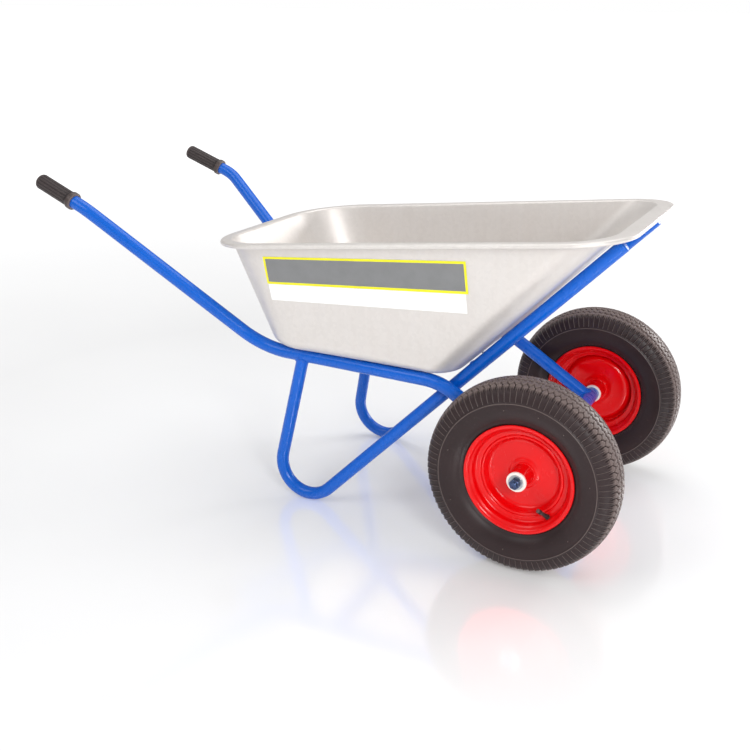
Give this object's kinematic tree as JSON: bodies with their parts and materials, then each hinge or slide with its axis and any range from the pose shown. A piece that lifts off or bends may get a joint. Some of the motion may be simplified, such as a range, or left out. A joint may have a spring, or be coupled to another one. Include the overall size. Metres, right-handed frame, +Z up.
{
  "type": "wheelbarrow",
  "caption": "Wheelbarrow with a deep pressed steel tray on a bent tube frame, two long handles with rubber grips, tube legs and a pair of pneumatic wheels on one axle.",
  "frame": {"origin": "on the floor, under the middle of the whole barrow", "axes": "+X forward towards the front of the tray, +Y to the user's left, +Z up, floor at z = 0"},
  "size_m": [1.3819, 0.665, 0.7121],
  "materials": {
    "frame_paint": "gloss",
    "grip_rubber": "matte ribbed",
    "galvanised_sheet": "satin galvanised",
    "label_film": "satin printed film",
    "zinc_hardware": "zinc plated",
    "tyre_rubber": "matte",
    "inner_tube_rubber": "matte",
    "rim_paint": "gloss",
    "bearing_nylon": "satin",
    "valve_rubber": "satin"
  },
  "bodies": {
    "frame": {"handle_tube_left": "frame_paint", "brace_tube_left": "frame_paint", "brace_plug_left": "frame_paint", "grip_left": "grip_rubber", "tray_bolt_floor_left": "zinc_hardware", "tray_nut_floor_left": "zinc_hardware", "tray_bolt_front_left": "zinc_hardware", "tray_nut_front_left": "zinc_hardware", "handle_tube_right": "frame_paint", "brace_tube_right": "frame_paint", "brace_plug_right": "frame_paint", "grip_right": "grip_rubber", "tray_bolt_floor_right": "zinc_hardware", "tray_nut_floor_right": "zinc_hardware", "tray_bolt_front_right": "zinc_hardware", "tray_nut_front_right": "zinc_hardware", "cross_bar": "frame_paint", "rear_strap": "frame_paint", "tray": "galvanised_sheet", "side_label": "label_film", "axle_tube": "frame_paint", "axle_rod": "zinc_hardware", "axle_plug_left": "zinc_hardware", "axle_washer_left": "zinc_hardware", "axle_nut_left": "zinc_hardware", "axle_plug_right": "zinc_hardware", "axle_washer_right": "zinc_hardware", "axle_nut_right": "zinc_hardware"},
    "wheel_left": {"tyre_left": "tyre_rubber", "inner_tube_left": "inner_tube_rubber", "rim_barrel_left": "rim_paint", "wheel_disc_left": "rim_paint", "hub_left": "rim_paint", "bearing_outer_left": "bearing_nylon", "bearing_inner_left": "bearing_nylon", "valve_stem_left": "valve_rubber", "valve_cap_left": "valve_rubber"},
    "wheel_right": {"tyre_right": "tyre_rubber", "inner_tube_right": "inner_tube_rubber", "rim_barrel_right": "rim_paint", "wheel_disc_right": "rim_paint", "hub_right": "rim_paint", "bearing_outer_right": "bearing_nylon", "bearing_inner_right": "bearing_nylon", "valve_stem_right": "valve_rubber", "valve_cap_right": "valve_rubber"}
  },
  "joints": [
    {"name": "wheel_left_spin", "type": "hinge", "parent": "frame", "child": "wheel_left", "pos_m": [0.492, 0.271, 0.2], "axis": [0, 1, 0], "continuous": true},
    {"name": "wheel_right_spin", "type": "hinge", "parent": "frame", "child": "wheel_right", "pos_m": [0.492, -0.271, 0.2], "axis": [0, 1, 0], "continuous": true}
  ]
}
